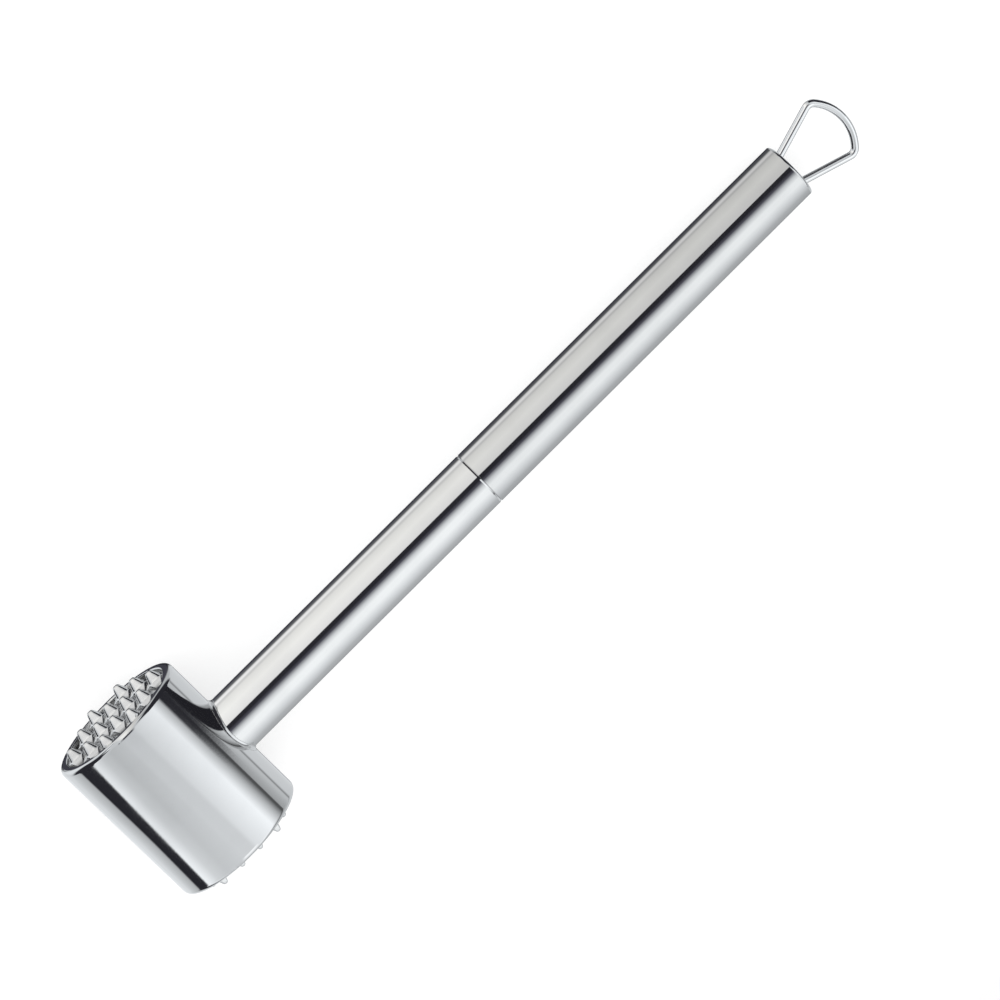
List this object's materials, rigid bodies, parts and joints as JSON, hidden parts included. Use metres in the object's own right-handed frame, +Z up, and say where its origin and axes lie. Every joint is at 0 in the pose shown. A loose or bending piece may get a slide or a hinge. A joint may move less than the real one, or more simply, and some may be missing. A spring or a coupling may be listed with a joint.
{
  "type": "meat mallet",
  "caption": "Steel meat mallet: a short round head with a coarse spiked face and a fine spiked face, a jointed tube handle and a wire hanging loop.",
  "frame": {"origin": "middle of the overall length and of the head's width, on the table under the head, with the mallet lying on its side", "axes": "+X along the handle towards the hanging loop, +Y along the head towards the coarse face, +Z up, across both the handle and the head"},
  "size_m": [0.267, 0.0522, 0.04],
  "materials": {
    "polished_steel": "polished stainless steel with a very fine satin grain",
    "spike_steel": "bright machined stainless steel",
    "machined_steel": "turned stainless steel, out of sight",
    "weld_steel": "dressed weld bead",
    "braze": "pale silver braze, out of sight",
    "polished_wire": "polished stainless wire"
  },
  "bodies": {
    "root": {"head_sleeve": "polished_steel", "head_core": "machined_steel", "coarse_plate": "spike_steel", "fine_plate": "spike_steel", "tie_stud": "machined_steel", "neck_plug": "machined_steel", "neck_weld": "weld_steel", "lower_tube": "polished_steel", "joint_spigot": "machined_steel", "upper_tube": "polished_steel", "end_cap": "polished_steel", "loop_braze": "braze", "hanging_loop": "polished_wire"}
  },
  "joints": []
}
